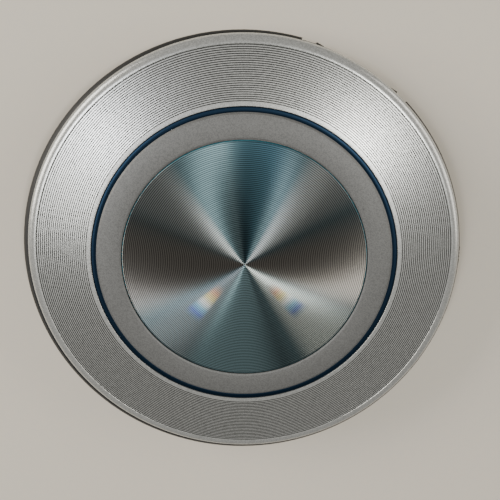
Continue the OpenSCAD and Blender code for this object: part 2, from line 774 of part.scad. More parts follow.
module lid_switch() {
    color([0.12, 0.12, 0.13]) at_bearing(300) {
        translate([switch_r - 0.75, -2, top_z - 4.4]) cube([1.5, 4, 3.1]);
        translate([switch_r, 0, top_z - 1.5]) cylinder(r = 0.6, h = 1.6);
    }
}

module hold_switch_base() {
    color("silver") at_bearing(hold_az) translate([bay_r + 1.3, -3, knob_mid - 1.2]) cube([0.9, 6, 2.4]);
}

module cell(x) {
    color([0.35, 0.5, 0.42]) {
        translate([x, -cell_y, cell_z]) cube([cell_w, cell_l - 0.6, cell_t]);
        translate([x + cell_w / 2 - 2, cell_y - 0.6 - eps, cell_z + cell_t / 2 - 1.5])
            cube([4, 0.6 + eps, 3]);
    }
}

module cell_a() {
    cell(cell_x0);
}

module cell_b() {
    cell(cell_x1 - cell_w);
}

module battery_contacts() {
    color("gold") for (x = [cell_x0, cell_x1 - cell_w])
        translate([x + cell_w / 2 - 3, bay_y - contact_t, cell_z + 1]) cube([6, contact_t, cell_t - 1]);
}

// Bowed leaf springs that press on the closed ends of the cells
module battery_springs() {
    color("gold") for (x = [cell_x0, cell_x1 - cell_w])
        translate([x + cell_w / 2 - 3, 0, cell_z + cell_t / 2])
        rotate([0, 90, 0]) linear_extrude(height = 6) polygon([
            [-2.2, -bay_y + 0.05], [2.2, -bay_y + 0.05], [2.2, -bay_y + 0.3], [0.4, -cell_y - 0.1],
            [-0.4, -cell_y - 0.1], [-2.2, -bay_y + 0.3]]);
}

// ---- Controls ----

module push_key(az, half) {
    rear = part_r - 2.6 + key_rear;
    face = part_r + 0.35;
    low = key_mid - key_h / 2;
    high = key_mid + key_h / 2;
    color([0.16, 0.17, 0.18]) {
        sector(az, half, [[rear + 0.6, low], [face - 0.4, low], [face, low + 0.5], [face, high - 0.5],
                          [face - 0.4, high], [rear + 0.6, high]]);
        sector(az, half + 0.8, [[rear, low - 0.6], [rear + 0.7, low - 0.6], [rear + 0.7, high + 0.6],
                                [rear, high + 0.6]]);
    }
}

module skip_back_button() { push_key(keys[0][0], keys[0][1]); }

module skip_forward_button() { push_key(keys[1][0], keys[1][1]); }

module play_button() { push_key(keys[2][0], keys[2][1]); }

module stop_button() { push_key(keys[3][0], keys[3][1]); }

module volume_down_button() { push_key(keys[4][0], keys[4][1]); }

module volume_up_button() { push_key(keys[5][0], keys[5][1]); }

// A slider knob with a flange inside the wall, a stem through the slot and a ribbed grip outside
module slide_knob(az, half_w, outer_r, ribs, flange_to) {
    inner = part_r - wall;
    rotate([0, 0, az]) {
        translate([inner - 0.95, -3.3, knob_mid - 1.6]) cube([0.35, 3.3 + flange_to, 3.2]);
        translate([inner - 0.7, -1.6, knob_mid - 0.7]) cube([recess_r + 0.3 - inner + 0.7, 3.2, 1.4]);
        difference() {
            intersection() {
                translate([recess_r + 0.1, -half_w, knob_mid - knob_h / 2]) cube([3, 2 * half_w, knob_h]);
                cylinder(r = outer_r, h = top_z);
            }
            for (i = [-ribs:ribs]) translate([outer_r + 0.05, i * 1.1, knob_mid - knob_h])
                cylinder(r = 0.3, h = 2 * knob_h);
        }
    }
}

module open_slider() {
    color([0.2, 0.21, 0.22]) slide_knob(270, 4.5, girdle_r, 2, 4.6);
}

module latch_tooth() {
    back = part_r - wall - 0.95;
    color([0.25, 0.26, 0.28])
        translate([tooth_x, -back, knob_mid - 1.6]) cube([tooth_w, 1.05, top_z - 1.9 - knob_mid + 1.6]);
}

module latch_spring() {
    turns = 5;
    coil_r = 0.5;
    wire_r = 0.14;
    color("silver") translate([tooth_x + tooth_w + run_gap, -(bay_r + 1.68), knob_mid - 0.9])
        rotate([0, 90, 0]) linear_extrude(height = 5, twist = 360 * turns, slices = 12 * turns, $fn = 8)
        translate([coil_r, 0]) circle(r = wire_r, $fn = 8);
}

module hold_knob() {
    color([0.2, 0.21, 0.22]) slide_knob(hold_az, 2.6, girdle_r + 0.5, 1, 3.3);
}

lid_shell();
accent_ring();
trim_ring();
centre_disc();
lid_frame();
lid_pads();
upper_case();
well_deck();
lower_case();
feet();
case_screws();
hinge_pins();
battery_door();
traverse_chassis();
dampers();
damper_screws();
spindle_motor();
guide_rod();
support_rod();
feed_motor();
main_board();
key_board();
chips();
capacitors();
tact_switches();
headphone_jack();
power_inlet();
lid_switch();
hold_switch_base();
cell_a();
cell_b();
battery_contacts();
battery_springs();
latch_spring();
turntable();
spindle_shaft();
disc_pad();
chuck_balls();
hub_cap();
pickup_body();
pickup_cover();
objective_lens();
feed_screw();
screw_gear();
motor_pinion();
open_slider();
latch_tooth();
play_button();
stop_button();
skip_back_button();
skip_forward_button();
volume_down_button();
volume_up_button();
hold_knob();
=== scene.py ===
"""Looks of a slim round portable disc player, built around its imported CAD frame.

The lid's grooved shell, its rings and its turned centre disc are modelled here as fine lathed
meshes. Every other piece keeps its CAD mesh and gets a procedural finish. Sizes are in metres.
"""

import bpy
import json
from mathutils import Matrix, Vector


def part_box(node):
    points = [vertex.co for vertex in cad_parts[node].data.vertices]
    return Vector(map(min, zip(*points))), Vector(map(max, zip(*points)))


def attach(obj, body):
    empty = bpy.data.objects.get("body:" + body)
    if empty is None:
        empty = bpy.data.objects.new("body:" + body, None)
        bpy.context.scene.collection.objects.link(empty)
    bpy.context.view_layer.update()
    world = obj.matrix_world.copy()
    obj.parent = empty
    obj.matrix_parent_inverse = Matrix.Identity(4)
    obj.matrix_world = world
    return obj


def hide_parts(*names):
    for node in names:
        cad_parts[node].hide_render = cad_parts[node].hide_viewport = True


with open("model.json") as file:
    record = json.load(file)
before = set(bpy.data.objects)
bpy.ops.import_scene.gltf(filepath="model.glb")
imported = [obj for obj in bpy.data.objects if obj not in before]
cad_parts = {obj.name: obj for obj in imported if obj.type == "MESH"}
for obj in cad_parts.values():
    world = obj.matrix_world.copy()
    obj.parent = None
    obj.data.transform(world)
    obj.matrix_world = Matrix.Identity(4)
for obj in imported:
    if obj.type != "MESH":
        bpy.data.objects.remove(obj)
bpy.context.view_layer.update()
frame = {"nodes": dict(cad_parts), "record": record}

import json
import logging
import math
from dataclasses import dataclass, field
from enum import Enum
from typing import Callable, Iterable, Sequence

import bpy
from mathutils import Matrix, Vector

LOG = logging.getLogger("disc_player")
MM = 0.001

Point = tuple[float, float]
Colour = tuple[float, float, float, float]


def linear(hex_colour: str) -> Colour:
    """Turns an sRGB hex colour into linear light.

    Args:
        hex_colour: six hex digits, such as "8a8a85".

    Returns:
        Linear red, green, blue and an alpha of one.
    """
    channels = [int(hex_colour[i:i + 2], 16) / 255 for i in (0, 2, 4)]
    lit = [c / 12.92 if c <= 0.04045 else ((c + 0.055) / 1.055) ** 2.4 for c in channels]
    return (lit[0], lit[1], lit[2], 1.0)


def add(tree: bpy.types.NodeTree, kind: str, settings: dict | None = None,
        links: dict | None = None) -> bpy.types.Node:
    """Adds a node with its settings and its incoming links.

    Args:
        tree: the node tree that takes the node.
        kind: the node's type name.
        settings: attribute values, or socket values where the name is a socket's.
        links: input socket name or number to the output socket that feeds it.

    Returns:
        The new node.
    """
    node = tree.nodes.new(kind)
    for name, value in (settings or {}).items():
        if isinstance(name, str) and hasattr(node, name):
            setattr(node, name, value)
        else:
            node.inputs[name].default_value = value
    for name, source in (links or {}).items():
        tree.links.new(source, node.inputs[name])
    return node


def half_width(node: str) -> float:
    """Gives half the width of a node, which is the radius of a round one."""
    low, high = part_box(node)
    return (high.x - low.x) / 2


def from_axis(tree: bpy.types.NodeTree, coord: bpy.types.Node,
              axis_y: float) -> bpy.types.NodeSocket:
    """Adds the level offset of a point from a vertical lathe axis.

    Args:
        tree: the material's tree.
        coord: the coordinate node.
        axis_y: place of the axis along Y in metres.

    Returns:
        The socket that gives the offset in metres.
    """
    offset = add(tree, "ShaderNodeVectorMath",
                 {"operation": "MULTIPLY_ADD", 1: (1, 1, 0), 2: (0, -axis_y, 0)},
                 {0: coord.outputs["Object"]})
    return offset.outputs["Vector"]


# The lid's edge, seam and turned rings
EDGE_BAND = 2.8 * MM
SEAM_WIDTH = 0.1 * MM
GROOVE_PITCH = 0.57 * MM
DISC_PITCH = 0.54 * MM
DISC_EDGE = 0.5 * MM
GROOVE_MARGIN = 0.5 * MM
GROOVES_OUTER = half_width("lid_shell") - EDGE_BAND - SEAM_WIDTH
GROOVES_INNER = half_width("accent_ring") + GROOVE_MARGIN
GROOVE_COUNT = int((GROOVES_OUTER - GROOVES_INNER) / GROOVE_PITCH)
LID_AXIS_Y = sum(corner.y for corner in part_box("lid_shell")) / 2


class Shadow(Enum):
    """How dark the painted shade in a turned furrow is beside its land, as the share of the land's
    colour lost.
    """

    SOFT = 0.72
    DEEP = 0.88


@dataclass(frozen=True)
class FurrowShade:
    """Painted shade in turned furrows: dark thin lines between bright lands.

    Args:
        outer: radius in metres where the first furrow starts.
        inner: radius in metres where the furrows have ended.
        pitch: distance from furrow to furrow in metres.
        share: share of the pitch that is furrow.
        shadow: how dark the furrow is.
        axis_y: place of the lathe axis along Y in metres.
        depths: sRGB hex of a furrow in full shadow.
    """

    outer: float
    inner: float
    pitch: float
    share: float
    shadow: Shadow
    axis_y: float
    depths: str = "0b0c0c"

    def shade(self, tree: bpy.types.NodeTree, coord: bpy.types.Node,
              colour: bpy.types.NodeSocket) -> bpy.types.NodeSocket:
        """Darkens a colour along the furrows.

        Args:
            tree: the material's tree.
            Paints shade into a colour along the furrows.
            colour: the socket that gives the land's colour.

        Returns:
            The socket that gives the shaded colour.
        """
        length = add(tree, "ShaderNodeVectorMath", {"operation": "LENGTH"},
                     {0: from_axis(tree, coord, self.axis_y)})
        radius = length.outputs["Value"]
        turns = add(tree, "ShaderNodeMapRange",
                    {"clamp": False, "From Min": self.outer, "From Max": self.outer - self.pitch},
                    {"Value": radius})
        phase = add(tree, "ShaderNodeMath", {"operation": "FRACT"}, {0: turns.outputs["Result"]})
        half = self.share / 2
        cut = add(tree, "ShaderNodeMath", {"operation": "COMPARE", 1: half, 2: half},
                  {0: phase.outputs["Value"]})
        middle = (self.outer + self.inner) / 2
        within = add(tree, "ShaderNodeMath",
                     {"operation": "COMPARE", 1: middle, 2: self.outer - middle}, {0: radius})
        loss = add(tree, "ShaderNodeMath", {"operation": "MULTIPLY"},
                   {0: cut.outputs["Value"], 1: within.outputs["Value"]})
        depth = add(tree, "ShaderNodeMath", {"operation": "MULTIPLY", 1: self.shadow.value},
                    {0: loss.outputs["Value"]})
        return add(tree, "ShaderNodeMix", {"data_type": "RGBA", 7: linear(self.depths)},
                   {0: depth.outputs["Value"], 6: colour}).outputs[2]


@dataclass(frozen=True)
class Finish:
    """A surface finish: a base colour with fine mottling and a fine bump.

    Args:
        name: the material's plain name.
        colour: sRGB hex of the surface.
        second: sRGB hex that the mottling tends to.
        roughness: microfacet roughness of the surface.
        metallic: one for bare metal, part of one for metal-flake paint.
        grain_mm: size of one grain of the pattern.
        grain_depth: bump distance of the grain in millimetres.
        mottle: how far the second colour shows, from 0 to 1.
        coat: strength of a clear coat.
        coat_roughness: roughness of that coat.
        ior: refractive index of the surface.
    """

    name: str
    colour: str
    second: str
    roughness: float = 0.5
    metallic: float = 0.0
    grain_mm: float = 0.4
    grain_depth: float = 0.01
    mottle: float = 0.3
    coat: float = 0.0
    coat_roughness: float = 0.1
    ior: float = 1.5

    def shell(self) -> tuple[bpy.types.Material, bpy.types.NodeTree, bpy.types.Node]:
        """Makes an empty node material with a coordinate node.

        Returns:
            The material, its tree and the coordinate node.
        """
        material = bpy.data.materials.new(self.name)
        material.use_nodes = True
        tree = material.node_tree
        tree.nodes.clear()
        return material, tree, add(tree, "ShaderNodeTexCoord")

    def grain(self, tree: bpy.types.NodeTree, coord: bpy.types.Node) -> bpy.types.Node:
        """Adds the fine grain that drives the mottling and the bump."""
        return add(tree, "ShaderNodeTexNoise",
                   {"Scale": 1 / (self.grain_mm * MM), "Detail": 3.0, "Roughness": 0.6},
                   {"Vector": coord.outputs["Object"]})

    def base(self, tree: bpy.types.NodeTree, fac: bpy.types.NodeSocket) -> bpy.types.Node:
        """Adds a ramp from the base colour to the second colour."""
        ramp = add(tree, "ShaderNodeValToRGB", {}, {"Fac": fac})
        ramp.color_ramp.elements[0].position = 0.5 - 0.3 * self.mottle
        ramp.color_ramp.elements[0].color = linear(self.colour)
        ramp.color_ramp.elements[1].position = 1.05 - 0.4 * self.mottle
        ramp.color_ramp.elements[1].color = linear(self.second)
        return ramp

    def close(self, tree: bpy.types.NodeTree, colour: bpy.types.NodeSocket,
              height: bpy.types.NodeSocket, extra: dict | None = None,
              links: dict | None = None) -> bpy.types.Node:
        """Adds the shader and the output.

        Args:
            tree: the material's tree.
            colour: the socket that gives the base colour.
            height: the socket that gives the bump's height.
            extra: more settings of the shader.
            links: more links into the shader.

        Returns:
            The shader node.
        """
        bump = add(tree, "ShaderNodeBump", {"Strength": 1.0, "Distance": self.grain_depth * MM},
                   {"Height": height})
        settings = {"Roughness": self.roughness, "Metallic": self.metallic, "IOR": self.ior,
                    "Coat Weight": self.coat, "Coat Roughness": self.coat_roughness}
        shader = add(tree, "ShaderNodeBsdfPrincipled", {**settings, **(extra or {})},
                     {"Base Color": colour, "Normal": bump.outputs["Normal"], **(links or {})})
        add(tree, "ShaderNodeOutputMaterial", {}, {"Surface": shader.outputs["BSDF"]})
        return shader

    def material(self) -> bpy.types.Material:
        """Builds the material.

        Returns:
            A node material with mottled colour and fine bump.
        """
        material, tree, coord = self.shell()
        grain = self.grain(tree, coord)
        colour = self.base(tree, grain.outputs["Fac"])
        self.close(tree, colour.outputs["Color"], grain.outputs["Fac"])
        return material


@dataclass(frozen=True)
class FlakePaint(Finish):
    """Silver paint: metal flakes under lacquer, so it sparkles finely and shades from bright to grey.

    Args:
        flake_mm: size of one flake cluster, drawn coarse enough to show.
        aniso: how far the turned grooves stretch the highlights.
        dirt_mm: size of one dark speck.
        dirt: sRGB hex of a speck.
        furrows: painted shade of the turned furrows in the surface.
    """

    flake_mm: float = 0.22
    dirt_mm: float = 1.6
    dirt: str = "2c2a27"
    aniso: float = 0.0
    furrows: FurrowShade | None = None

    def material(self) -> bpy.types.Material:
        """Builds the paint with flakes, a few dark specks and a lacquer coat.

        Returns:
            The node material.
        """
        material, tree, coord = self.shell()
        flakes = add(tree, "ShaderNodeTexVoronoi", {"Scale": 1 / (self.flake_mm * MM)},
                     {"Vector": coord.outputs["Object"]})
        shade = add(tree, "ShaderNodeSeparateColor", {}, {"Color": flakes.outputs["Color"]})
        colour = self.base(tree, shade.outputs["Red"])
        dirt = add(tree, "ShaderNodeTexNoise", {"Scale": 1 / (self.dirt_mm * MM), "Detail": 2.0},
                   {"Vector": coord.outputs["Object"]})
        speck = add(tree, "ShaderNodeMapRange",
                    {"From Min": 0.76, "From Max": 0.79, "To Min": 0.0, "To Max": 0.55},
                    {"Value": dirt.outputs["Fac"]})
        specked = add(tree, "ShaderNodeMix", {"data_type": "RGBA", 7: linear(self.dirt)},
                      {0: speck.outputs["Result"], 6: colour.outputs["Color"]})
        painted = specked.outputs[2]
        links = {}
        if self.furrows:
            ring = add(tree, "ShaderNodeTangent", {"direction_type": "RADIAL", "axis": "Z"})
            links["Tangent"] = ring.outputs["Tangent"]
            # Painted shade: the colour darkens along the turned furrows
            painted = self.furrows.shade(tree, coord, painted)
        self.close(tree, painted, shade.outputs["Green"],
                   {"Anisotropic": self.aniso}, links)
        return material


@dataclass(frozen=True)
class TurnedMetal(Finish):
    """Lathe-turned aluminium under tinted lacquer: fine rings pull highlights into radial fans;
    reflections, shade and rainbow colours can also be painted into its colour by bearing.

    Args:
        axis_y: place of the lathe axis along Y in metres.
        ring_mm: distance from ring to ring.
        aniso: how far the rings stretch the highlights.
        edge_radius: radius in metres where the edge colour begins, past the piece for none.
        edge: sRGB hex of the edge's tint.
        painted_light_sectors: bearing, half width in degrees and sRGB hex of each sector; the lighter
            ones are painted reflections, the darker ones painted shade.
        painted_rainbows: bearings in degrees of the fans where rainbow colours are painted in, as
            turned lines would split light.
        rainbow_half: half width of such a fan in degrees.
        rainbow_reach: radii in metres where its colours start and end.
        furrows: painted shade of the turned furrows in the surface.
    """

    axis_y: float = 0.0
    ring_mm: float = 0.54
    aniso: float = 0.85
    edge_radius: float = 1.0
    edge: str = "2c6f80"
    painted_light_sectors: tuple[tuple[float, float, str], ...] = ()
    painted_rainbows: tuple[float, ...] = ()
    rainbow_half: float = 9.0
    rainbow_reach: tuple[float, float] = (9 * MM, 24 * MM)
    furrows: FurrowShade | None = None

    def wedge(self, tree: bpy.types.NodeTree, direction: bpy.types.NodeSocket, bearing: float,
              half: float) -> bpy.types.NodeSocket:
        """Adds a soft mask that is one along a bearing and zero past half an angle from it."""
        a = math.radians(bearing)
        facing = add(tree, "ShaderNodeVectorMath",
                     {"operation": "DOT_PRODUCT", 1: (math.cos(a), math.sin(a), 0)},
                     {0: direction})
        mask = add(tree, "ShaderNodeMapRange",
                   {"interpolation_type": "SMOOTHSTEP", "From Min": math.cos(math.radians(half)),
                    "From Max": 1.0}, {"Value": facing.outputs["Value"]})
        return mask.outputs["Result"]

    def spectrum(self, tree: bpy.types.NodeTree, radius: bpy.types.NodeSocket) -> bpy.types.Node:
        """Adds the painted colours that a rainbow reflection runs through from the axis outwards."""
        start, end = self.rainbow_reach
        share = add(tree, "ShaderNodeMapRange", {"From Min": start, "From Max": end},
                    {"Value": radius})
        ramp = add(tree, "ShaderNodeValToRGB", {}, {"Fac": share.outputs["Result"]})
        stops = ramp.color_ramp.elements
        stops[0].position, stops[0].color = 0.0, (*linear("8a8f8c")[:3], 0.0)
        stops[1].position, stops[1].color = 1.0, (*linear("6f93a0")[:3], 0.0)
        for place, tint in ((0.25, "d8a888"), (0.4, "eadf9c"), (0.55, "eef6f6"), (0.68, "8fc8e4"),
                            (0.82, "6a7fc8")):
            stop = stops.new(place)
            stop.color = (*linear(tint)[:3], 0.8)
        return ramp

    def material(self) -> bpy.types.Material:
        """Builds the turned metal with rings in colour and height.

        Returns:
            The node material.
        """
        material, tree, coord = self.shell()
        offset = from_axis(tree, coord, self.axis_y)
        length = add(tree, "ShaderNodeVectorMath", {"operation": "LENGTH"}, {0: offset})
        radius = length.outputs["Value"]
        turns = add(tree, "ShaderNodeCombineXYZ", {}, {"X": radius})
        uneven = add(tree, "ShaderNodeTexNoise",
                     {"noise_dimensions": "3D", "Scale": 1 / (self.ring_mm * MM), "Detail": 2.0},
                     {"Vector": turns.outputs["Vector"]})
        tint = self.base(tree, uneven.outputs["Fac"]).outputs["Color"]
        way = add(tree, "ShaderNodeVectorMath", {"operation": "NORMALIZE"}, {0: offset})
        # Painted reflection and painted shade: each wedge at a fixed bearing is tinted lighter where
        # lamps reflect and darker where the room is dim
        for bearing, half, shade in self.painted_light_sectors:
            mask = self.wedge(tree, way.outputs["Vector"], bearing, half)
            tint = add(tree, "ShaderNodeMix", {"data_type": "RGBA", 7: linear(shade)},
                       {0: mask, 6: tint}).outputs[2]
        # Painted rainbow reflections: spectral tints in narrow fans at fixed bearings
        for bearing in self.painted_rainbows:
            spectrum = self.spectrum(tree, radius)
            mask = add(tree, "ShaderNodeMath", {"operation": "MULTIPLY"},
                       {0: self.wedge(tree, way.outputs["Vector"], bearing, self.rainbow_half),
                        1: spectrum.outputs["Alpha"]})
            tint = add(tree, "ShaderNodeMix", {"data_type": "RGBA"},
                       {0: mask.outputs["Value"], 6: tint, 7: spectrum.outputs["Color"]}).outputs[2]
        rim = add(tree, "ShaderNodeMath", {"operation": "GREATER_THAN", 1: self.edge_radius},
                  {0: radius})
        edged = add(tree, "ShaderNodeMix", {"data_type": "RGBA", 7: linear(self.edge)},
                    {0: rim.outputs["Value"], 6: tint})
        ring = add(tree, "ShaderNodeTangent", {"direction_type": "RADIAL", "axis": "Z"})
        turned = edged.outputs[2]
        if self.furrows:
            # Painted shade: the colour darkens along the turned furrows
            turned = self.furrows.shade(tree, coord, turned)
        self.close(tree, turned, uneven.outputs["Fac"], {"Anisotropic": self.aniso},
                   {"Tangent": ring.outputs["Tangent"]})
        return material


@dataclass(frozen=True)
class BrushedMetal(Finish):
    """Ground or rolled metal: long fine scratches along one axis."""

    def grain(self, tree: bpy.types.NodeTree, coord: bpy.types.Node) -> bpy.types.Node:
        """Adds grain stretched twelve times along X."""
        stretch = add(tree, "ShaderNodeMapping", {"Scale": (1 / 12, 1, 1)},
                      {"Vector": coord.outputs["Object"]})
        return add(tree, "ShaderNodeTexNoise", {"Scale": 1 / (self.grain_mm * MM), "Detail": 4.0},
                   {"Vector": stretch.outputs["Vector"]})


@dataclass(frozen=True)
class LensGlass(Finish):
    """Coated moulded glass: dark and clear with a violet-blue reflex."""

    def material(self) -> bpy.types.Material:
        """Builds the glass with a faint mottle in its colour.

        Returns:
            The node material.
        """
        material, tree, coord = self.shell()
        grain = self.grain(tree, coord)
        colour = self.base(tree, grain.outputs["Fac"])
        self.close(tree, colour.outputs["Color"], grain.outputs["Fac"],
                   {"Transmission Weight": 0.5})
        return material


PALE_PAPER = Finish("pale paper", "dcd5c7", "d9d3c7", roughness=0.9, grain_mm=3.0,
                    grain_depth=0.02, mottle=0.5)
# Little light gets into the lid's furrows, so they read as dark lines between bright lands
LID_FURROW_SHADE = FurrowShade(outer=GROOVES_OUTER, inner=GROOVES_OUTER - GROOVE_COUNT * GROOVE_PITCH,
                      pitch=GROOVE_PITCH, share=0.42, shadow=Shadow.DEEP, axis_y=LID_AXIS_Y)
# The disc's furrows are shallow, so the shade painted into them is soft
DISC_FURROW_SHADE = FurrowShade(outer=half_width("centre_disc") - DISC_EDGE, inner=DISC_EDGE,
                       pitch=DISC_PITCH, share=0.45, shadow=Shadow.SOFT, axis_y=LID_AXIS_Y)
# Silver metal-flake paint on the lid: warm grey, fine sparkle, satin lacquer
LID_PAINT = FlakePaint("silver flake paint", "acaeac", "c6c8c6", roughness=0.26, metallic=0.6,
                       grain_depth=0.0015, mottle=0.8, coat=0.05, coat_roughness=0.2, aniso=0.3,
                       furrows=LID_FURROW_SHADE)
# The same paint on the plain ring, smoother and without grooves
RING_PAINT = FlakePaint("satin silver paint", "646564", "747574", roughness=0.5, metallic=0.35,
                        grain_depth=0.003, mottle=0.9, coat=0.05, coat_roughness=0.35)
# Blue-anodised aluminium: dark, saturated, glossy where it turns to the light
ANODISED_BLUE = TurnedMetal("blue anodised aluminium", "071d30", "0b3248", roughness=0.35,
                            metallic=0.8, grain_depth=0.002, aniso=0.3, axis_y=LID_AXIS_Y)
# Turned aluminium under pale blue lacquer: radial fans, rings visible close up; reflections, shade
# and rainbow colours painted into it by bearing
TURNED_DISC = TurnedMetal("turned blue aluminium", "5a7076", "6d858c", roughness=0.38,
                          metallic=1.0, grain_depth=0.001, aniso=1.0, mottle=0.9,
                          coat=0.3, coat_roughness=0.12, painted_rainbows=(254.7, 347.0),
                          furrows=DISC_FURROW_SHADE, axis_y=LID_AXIS_Y, edge_radius=36.1 * MM,
                          painted_light_sectors=((28.0, 34.0, "96928c"), (210.0, 34.0, "96928c"),
                                   (74.0, 18.0, "a9b0b0"), (169.0, 18.0, "a9b0b0"),
                                   (112.0, 18.0, "344f59"), (292.0, 30.0, "b6dce6"),
                                   (255.0, 20.0, "7b878c"), (347.0, 20.0, "ccd6d2")))
# Black ABS with a fine spark-eroded texture: soft grey sheen, no sharp reflections
CASE_ABS = Finish("black textured ABS", "0d1012", "15191b", roughness=0.45, grain_mm=0.35,
                  grain_depth=0.012, mottle=0.5)
# The keys are the same ABS, polished a little more
KEY_ABS = Finish("satin black ABS", "1b1e21", "262a2d", roughness=0.28, grain_mm=0.5,
                 grain_depth=0.004, mottle=0.4)
RUBBER = Finish("black nitrile rubber", "161616", "222221", roughness=0.75, grain_mm=0.25,
                grain_depth=0.02, mottle=0.6)
GROUND_STEEL = BrushedMetal("ground steel", "a9abad", "c6c7c8", roughness=0.25, metallic=1.0,
                            grain_mm=0.08, grain_depth=0.003)
NICKEL_PLATE = BrushedMetal("nickel-plated bronze", "b5ab8c", "d2c8a8", roughness=0.22,
                            metallic=1.0, grain_mm=0.1, grain_depth=0.002)
ZINC_STEEL = BrushedMetal("zinc-plated steel", "9a9da0", "b8babc", roughness=0.35, metallic=1.0,
                          grain_mm=0.2, grain_depth=0.004)
MOTOR_CAN = BrushedMetal("drawn steel can", "8c8e90", "aeb0b1", roughness=0.3, metallic=1.0,
                         grain_mm=0.15, grain_depth=0.003)
SOLDER_MASK = Finish("green solder mask", "0c3a22", "14502f", roughness=0.3, grain_mm=1.2,
                     grain_depth=0.02, mottle=0.7, coat=0.4)
CHIP_EPOXY = Finish("black moulded epoxy", "17181a", "222326", roughness=0.55, grain_mm=0.3,
                    grain_depth=0.01, mottle=0.5)
CAPACITOR_SLEEVE = Finish("aluminium capacitor can", "8791a0", "a7afbb", roughness=0.35,
                          metallic=0.8, grain_mm=0.6, grain_depth=0.003)
ACETAL = Finish("natural acetal", "d9d5c6", "e6e3d7", roughness=0.4, grain_mm=0.6,
                grain_depth=0.005, ior=1.48)
BRASS = BrushedMetal("turned brass", "b08d4a", "c9a763", roughness=0.25, metallic=1.0,
                     grain_mm=0.1, grain_depth=0.003)
CERAMIC = Finish("polished ceramic", "d6d6d2", "e4e4e0", roughness=0.12, grain_mm=0.5,
                 grain_depth=0.001, ior=1.7)
COATED_GLASS = LensGlass("coated lens glass", "2c3f78", "4a3a80", roughness=0.03, grain_mm=2.0,
                         grain_depth=0.0005, ior=1.6)
CELL_SLEEVE = Finish("printed cell sleeve", "2f5a47", "3c6a55", roughness=0.3, grain_mm=1.5,
                     grain_depth=0.004, mottle=0.4, coat=0.3)
SOCKET_PLASTIC = Finish("black PBT", "101112", "1a1b1c", roughness=0.35, grain_mm=0.3,
                        grain_depth=0.006)

SLOT_FINISH: dict[str, Finish] = {
    "silver_paint": LID_PAINT, "accent_blue": ANODISED_BLUE, "trim_silver": RING_PAINT,
    "turned_blue": TURNED_DISC, "case_black": CASE_ABS, "key_black": KEY_ABS, "rubber": RUBBER,
    "steel": GROUND_STEEL, "plated": NICKEL_PLATE, "chassis_steel": ZINC_STEEL,
    "motor_can": MOTOR_CAN, "board_green": SOLDER_MASK, "chip_black": CHIP_EPOXY,
    "capacitor": CAPACITOR_SLEEVE, "gear_white": ACETAL, "brass": BRASS, "ceramic_ball": CERAMIC,
    "lens_glass": COATED_GLASS, "cell_sleeve": CELL_SLEEVE, "socket_black": SOCKET_PLASTIC,
}


@dataclass
class Wardrobe:
    """Makes each material once and hands it out by the record's slot.

    Args:
        made: materials made so far, by slot.
    """

    made: dict[str, bpy.types.Material] = field(default_factory=dict)

    def of(self, slot: str) -> bpy.types.Material:
        """Gives the material of a slot, made on first use."""
        if slot not in self.made:
            self.made[slot] = SLOT_FINISH[slot].material()
        return self.made[slot]

    def dress(self, obj: bpy.types.Object, slot: str) -> None:
        """Puts a slot's material on every face of an object."""
        obj.data.materials.clear()
        obj.data.materials.append(self.of(slot))


def smooth(obj: bpy.types.Object, degrees: float) -> None:
    """Shades faces smooth and keeps edges sharper than an angle."""
    obj.data.polygons.foreach_set("use_smooth", [True] * len(obj.data.polygons))
    obj.data.set_sharp_from_angle(angle=math.radians(degrees))


def mesh_object(name: str, verts: Sequence[Sequence[float]],
                faces: Iterable[Sequence[int]]) -> bpy.types.Object:
    """Makes a mesh object in the scene.

    Args:
        name: the object's name.
        verts: places in metres.
        faces: vertex numbers of each face.

    Returns:
        The new object.
    """
    mesh = bpy.data.meshes.new(name)
    mesh.from_pydata([tuple(v) for v in verts], [], [tuple(f) for f in faces])
    mesh.validate()
    obj = bpy.data.objects.new(name, mesh)
    bpy.context.scene.collection.objects.link(obj)
    return obj


def lathe(name: str, outline: Sequence[Point], centre: Vector, segments: int) -> bpy.types.Object:
    """Turns a closed outline of radius and height about a vertical axis.

    Args:
        name: the object's name.
        outline: closed outline, counter-clockwise, points on the axis at radius zero.
        centre: a point of the axis; its height is added to the outline's.
        segments: steps around the axis.

    Returns:
        A closed mesh.
    """
    verts: list[tuple[float, float, float]] = []
    rows: list[list[int]] = []
    for radius, height in outline:
        if radius < 1e-9:
            verts.append((centre.x, centre.y, centre.z + height))
            rows.append([len(verts) - 1] * segments)
            continue
        start = len(verts)
        for i in range(segments):
            angle = 2 * math.pi * i / segments
            verts.append((centre.x + radius * math.cos(angle),
                          centre.y + radius * math.sin(angle), centre.z + height))
        rows.append(list(range(start, start + segments)))
    faces = []
    for low, high in zip(rows, rows[1:] + rows[:1]):
        for i in range(segments):
            j = (i + 1) % segments
            loop = list(dict.fromkeys((low[i], low[j], high[j], high[i])))
            if len(loop) >= 3:
                faces.append(loop)
    return mesh_object(name, verts, faces)


def arc(cx: float, cy: float, rx: float, ry: float, start: float, end: float,
        count: int) -> list[Point]:
    """Points of an elliptical arc, angles in degrees."""
    turn = [math.radians(start + (end - start) * i / count) for i in range(count + 1)]
    return [(cx + rx * math.cos(a), cy + ry * math.sin(a)) for a in turn]


